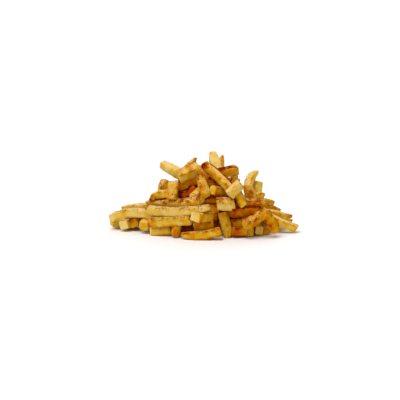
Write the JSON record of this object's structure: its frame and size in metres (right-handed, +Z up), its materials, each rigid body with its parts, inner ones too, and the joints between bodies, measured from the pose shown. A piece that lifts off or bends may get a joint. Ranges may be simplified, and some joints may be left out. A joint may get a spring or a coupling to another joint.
{
  "type": "french fries portion",
  "caption": "Loose heap of straight-cut french fries, golden to browned, with a dusting of seasoning.",
  "frame": {"origin": "a point on the flat underside, in the middle of the picture's view of the heap", "axes": "+X to the right across the heap, +Y away from the viewer, +Z up"},
  "size_m": [0.1907, 0.1099, 0.0793],
  "materials": {
    "fried_potato": "deep-fried potato, pale yellow to golden brown, lightly oiled"
  },
  "bodies": {
    "root": {"fries": "fried_potato"}
  },
  "joints": []
}
